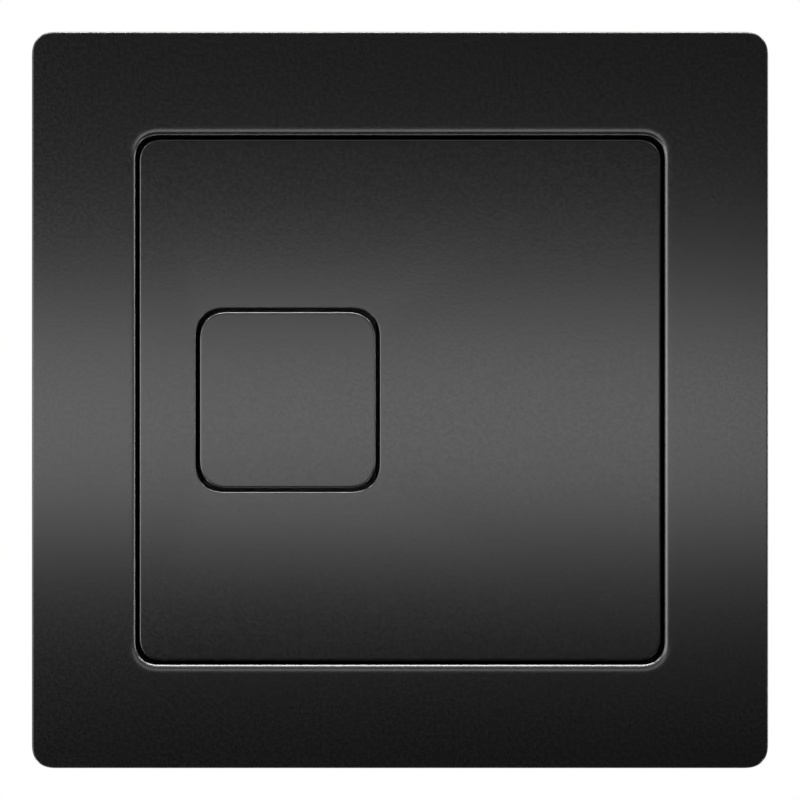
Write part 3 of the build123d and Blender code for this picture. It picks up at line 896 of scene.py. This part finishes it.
# The same plastic in dark grey
dark_abs = finish("moulded_dark_grey_abs", ("#434445", "#39393a"), drift=25, grain=0.6, depth=0.008,
                  shine=(0.45, 0.58), IOR=1.5)
# Soft and lightless, pitted by open cells where the strip was cut; cells of 0.8 mm are true to size
foam = finish("closed_cell_foam", ("#4d4d4d", "#3f3f3f"), drift=9, grain=0.8, depth=0.12,
              shine=(0.85, 0.95), grain_kind="ShaderNodeTexVoronoi", IOR=1.4)
# A cool silver with pale blue and straw patches from the passivation, a little uneven in its shine
zinc = finish("zinc_plated_steel", ("#c6ccd6", "#d2cdbd"), drift=1.6, grain=0.35, depth=0.004,
              shine=(0.26, 0.42), Metallic=1.0)

# %% [markdown]
# ## CAD pieces that stay
# The wall frame, the tray, its seal and screws, the clips, pads and foam have the right shape already, so
# their CAD meshes stay as they are and only get modifiers. CAD triangles come loose: Weld joins them and
# Decimate dissolves flat ones into whole faces, so that Bevel finds the true edges and rounds them as a
# mould does. Without a round edge no edge catches the light.

# %% Dress the CAD pieces that stay
EDGE_ROUND = 0.25
EDGE_SEGMENTS = 2
EDGE_ANGLE = radians(40)
FLAT_ANGLE = radians(1)
WELD_REACH = 0.002
FINISHES = {"grey_abs": grey_abs, "dark_grey_abs": dark_abs, "foam": foam, "screw_steel": zinc,
            "black_rubber": black_rubber, "white_acetal": white_acetal}

for subpart in frame["record"]["subparts"]:
    node = frame["nodes"][subpart["node"]]
    if node.hide_render:
        continue
    for slot in node.material_slots:
        slot.material = FINISHES[subpart["material_slot"]]
    weld = node.modifiers.new("weld", "WELD")
    weld.merge_threshold = WELD_REACH * MM
    flats = node.modifiers.new("flats", "DECIMATE")
    flats.decimate_type = "DISSOLVE"
    flats.angle_limit = FLAT_ANGLE
    bevel = node.modifiers.new("edges", "BEVEL")
    bevel.width = EDGE_ROUND * MM
    bevel.segments = EDGE_SEGMENTS
    bevel.limit_method = "ANGLE"
    bevel.angle_limit = EDGE_ANGLE
    bevel.use_clamp_overlap = False
    bevel.harden_normals = True
    print(subpart["node"], "keeps its CAD mesh, in", subpart["material_slot"])

# %% [markdown]
# ## Ejector marks
# Pins push a moulding out of its mould and leave round marks on its back. On the tray's back they stand
# proud by a hair, in a regular pattern between the ribs. A tree sets a thin disc on each of the points.

# %% Wire the mark tree and grow the marks
MARK_RADIUS = 2.5
MARK_HEIGHT = 0.15
MARK_STEPS = 40
MARK_ROWS = ((22.0, 42.0), (46.0, 17.0))
MARK_MIDDLE = 44.0

mark_tree, given = new_tree("ejector_marks", ["Radius", "Height"])
drum = add_node(mark_tree, "GeometryNodeMeshCylinder", inputs={
    "Vertices": MARK_STEPS, "Radius": given["Radius"], "Depth": given["Height"]})
marks = add_node(mark_tree, "GeometryNodeInstanceOnPoints", inputs={
    "Points": given["Geometry"], "Instance": drum.outputs["Mesh"], "Rotation": (pi / 2, 0, 0)})
end_tree(mark_tree, marks.outputs["Instances"], dark_abs)

nut_low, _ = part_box("full_flush_lock_nut")
tray_back = -nut_low.y / MM
places = [(x * across, tray_back, z * up) for across, up in MARK_ROWS for x in SIDES for z in SIDES]
places += [(0, tray_back, z * MARK_MIDDLE) for z in SIDES]
grow("ejector_marks", mark_tree, "chassis", "dark_grey_abs", places,
     {"Radius": MARK_RADIUS, "Height": 2 * MARK_HEIGHT})

# %% [markdown]
# ## Camera
# The photo looks straight at the plate. The camera stands level with its middle, far enough away to show
# none of its sides, and its lens is worked out from the share of the picture that the plate fills.

# %% Place the camera
CAMERA_DISTANCE = 0.8
PHOTO_PIXELS = 800
PLATE_PIXELS = 736.5
SENSOR = 36

camera_data = bpy.data.cameras.new("camera")
camera = bpy.data.objects.new("camera", camera_data)
scene.collection.objects.link(camera)
camera.location = (0, cover_low.y - CAMERA_DISTANCE, 0)
camera.rotation_euler = (pi / 2, 0, 0)
view_width = 2 * PLATE_HALF * MM * PHOTO_PIXELS / PLATE_PIXELS
camera_data.sensor_width = SENSOR
camera_data.lens = SENSOR * CAMERA_DISTANCE / view_width
scene.camera = camera
print("lens", round(camera_data.lens, 1), "mm")

# %% [markdown]
# ## Lamps
# A black satin plate shows almost nothing but reflections, so each lamp is there for something it draws.
# The front strip is the pale band across the middle. A face that is tilted by some angle reflects what
# stands at twice that angle off the front, so the other lamps stand far round to the sides and draw the
# fine lines along the edges and round the corners. Those that are bright and narrow are switched off for
# diffuse light, or they would burn out the pale plastics behind the plate. Places and sizes are in metres.

# %% Hang the lamps
MIDDLE = (0, 0, 0)


def softbox(name, place, size, radiance, aim=MIDDLE, only_gloss=False):
    """A rectangular lamp of an even brightness, where 1 is as bright as white paper."""
    data = bpy.data.lights.new(name, "AREA")
    data.shape = "RECTANGLE"
    data.size, data.size_y = size
    data.energy = radiance * pi * data.size * data.size_y
    lamp = bpy.data.objects.new(name, data)
    scene.collection.objects.link(lamp)
    lamp.location = place
    lamp.rotation_mode = "QUATERNION"
    lamp.rotation_quaternion = (Vector(aim) - Vector(place)).to_track_quat("-Z", "Y")
    lamp.visible_camera = False
    lamp.visible_diffuse = not only_gloss
    print(name, "gives", round(data.energy, 2), "W")


# The pale band, from a strip that leans back, so that the band fades sooner below than above
softbox("front_strip", (-0.159, -0.179, -0.0044), (0.58, 0.0685), 4.04, aim=(-0.1477, -0.0303, 0.1288))
# Broad soft lines on the edges that face left
softbox("left_box", (-0.62, -0.45, 0), (0.4, 0.6), 6)
# Fine lines on the edges that face up, right and down
softbox("overhead_strip", (0, -0.16, 0.78), (0.7, 0.1), 88, only_gloss=True)
softbox("right_strip", (0.8, -0.13, 0), (0.1, 0.4), 24, only_gloss=True)
softbox("low_strip", (0, -0.08, -0.45), (0.6, 0.05), 8, only_gloss=True)
# The same lines round the corners
for side in SIDES:
    softbox("high_corner_strip", (side * 0.55, -0.135, 0.55), (0.3, 0.08), 70, only_gloss=True)
    softbox("low_corner_strip", (side * 0.45, -0.11, -0.42), (0.3, 0.05), 60, only_gloss=True)
# Some shape for the back
softbox("back_box", (0.5, 0.9, 0.7), (0.6, 0.6), 2.5)

# %% [markdown]
# ## Background, cards and floor
# The background is white to the camera and in reflections, and a little dimmer as a light, so that pale
# colours keep their value. Studios put black cards in front of glossy black things, because a white room
# would turn them grey. Two such cards stand here, seen only by reflections. A pale floor lies below.

# %% Paint the world
AMBIENT = 0.75

world = bpy.data.worlds.new("studio")
scene.world = world
world.use_nodes = True
tree = world.node_tree
path = add_node(tree, "ShaderNodeLightPath")
seen = add_node(tree, "ShaderNodeMath", {"operation": "MAXIMUM"}, {
    0: path.outputs["Is Camera Ray"], 1: path.outputs["Is Glossy Ray"]})
seen = add_node(tree, "ShaderNodeMath", {"operation": "MAXIMUM"}, {
    0: seen.outputs[0], 1: path.outputs["Is Transmission Ray"]})
strength = add_node(tree, "ShaderNodeMapRange", inputs={
    "Value": seen.outputs[0], "To Min": AMBIENT, "To Max": 1.0})
background = tree.nodes["Background"]
background.inputs["Color"].default_value = linear("#ffffff")
tree.links.new(strength.outputs["Result"], background.inputs["Strength"])
print("the room lights pale things at", AMBIENT, "of white")

# %% Set up the cards and the floor
CARD_HALF = 1.2
CARD_AT = -1.0
# The near and the far edge of each card, as (y, z) in metres
CARDS = {"front_card": ((CARD_AT, -1.2), (CARD_AT, 0.6)), "lower_card": ((CARD_AT, -0.3), (-0.1, -0.3))}
FLOOR_HALF = 2.0
FLOOR_LEVEL = -0.5


def sheet_of(name, corners, colour, **shader_values):
    """A flat four-cornered stage piece."""
    data = bpy.data.meshes.new(name)
    data.from_pydata(corners, [], [range(4)])
    piece = bpy.data.objects.new(name, data)
    scene.collection.objects.link(piece)
    paint = bpy.data.materials.new(name + "_paint")
    paint.use_nodes = True
    shader = paint.node_tree.nodes["Principled BSDF"]
    shader.inputs["Base Color"].default_value = linear(colour)
    for socket, value in shader_values.items():
        shader.inputs[socket.replace("_", " ")].default_value = value
    data.materials.append(paint)
    return piece


def card_edge(y, z):
    """The two ends of a card's edge."""
    return [(-CARD_HALF, y, z), (CARD_HALF, y, z)]


for name, (near, far) in CARDS.items():
    corners = card_edge(*near) + card_edge(*far)[::-1]
    card = sheet_of(name, corners, "#000000", Roughness=1.0, Specular_IOR_Level=0.0)
    card.visible_camera = card.visible_diffuse = card.visible_shadow = card.visible_transmission = False
square = ((-1, -1), (1, -1), (1, 1), (-1, 1))
sheet_of("floor", [(x * FLOOR_HALF, y * FLOOR_HALF, FLOOR_LEVEL) for x, y in square],
         "#e8e8e6", Roughness=0.8)
scene.view_settings.view_transform = "Standard"
print("two cards and a floor are set up")
